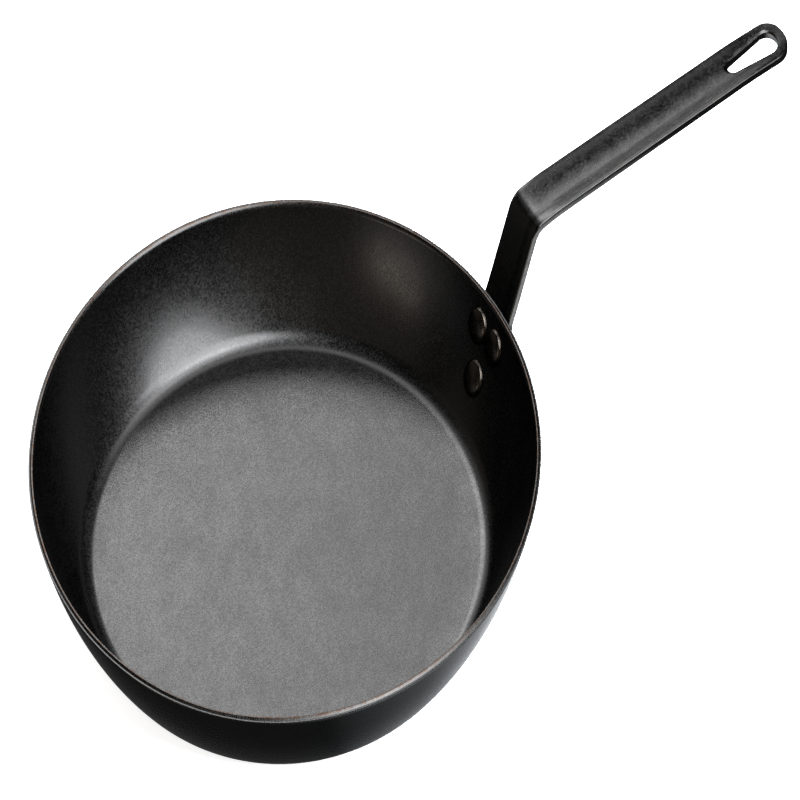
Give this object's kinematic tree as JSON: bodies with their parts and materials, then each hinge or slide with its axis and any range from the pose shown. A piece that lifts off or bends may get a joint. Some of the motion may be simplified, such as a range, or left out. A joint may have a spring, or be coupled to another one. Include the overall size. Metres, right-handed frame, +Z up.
{
  "type": "skillet",
  "caption": "Seasoned black carbon-steel skillet with a flaring curved wall, a long flat-bar handle riveted on outside, and a teardrop hang hole.",
  "frame": {"origin": "centre of the flat base's underside, on the surface the skillet stands on", "axes": "+Z up out of the pan, +X along the handle from the pan's centre to the grip's tip, +Y to the left of the handle"},
  "size_m": [0.5344, 0.3144, 0.0966],
  "materials": {
    "pan_steel": "baked-on black oil seasoning over carbon steel, satin, fine sparkling grain",
    "handle_steel": "baked-on black oil seasoning over carbon steel, satin, sandy grain",
    "rivet_steel": "baked-on black oil seasoning over carbon steel, slightly glossier than the pan"
  },
  "bodies": {
    "root": {"pan_shell": "pan_steel", "handle": "handle_steel", "rivet_upper_left": "rivet_steel", "rivet_upper_right": "rivet_steel", "rivet_lower": "rivet_steel"}
  },
  "joints": []
}
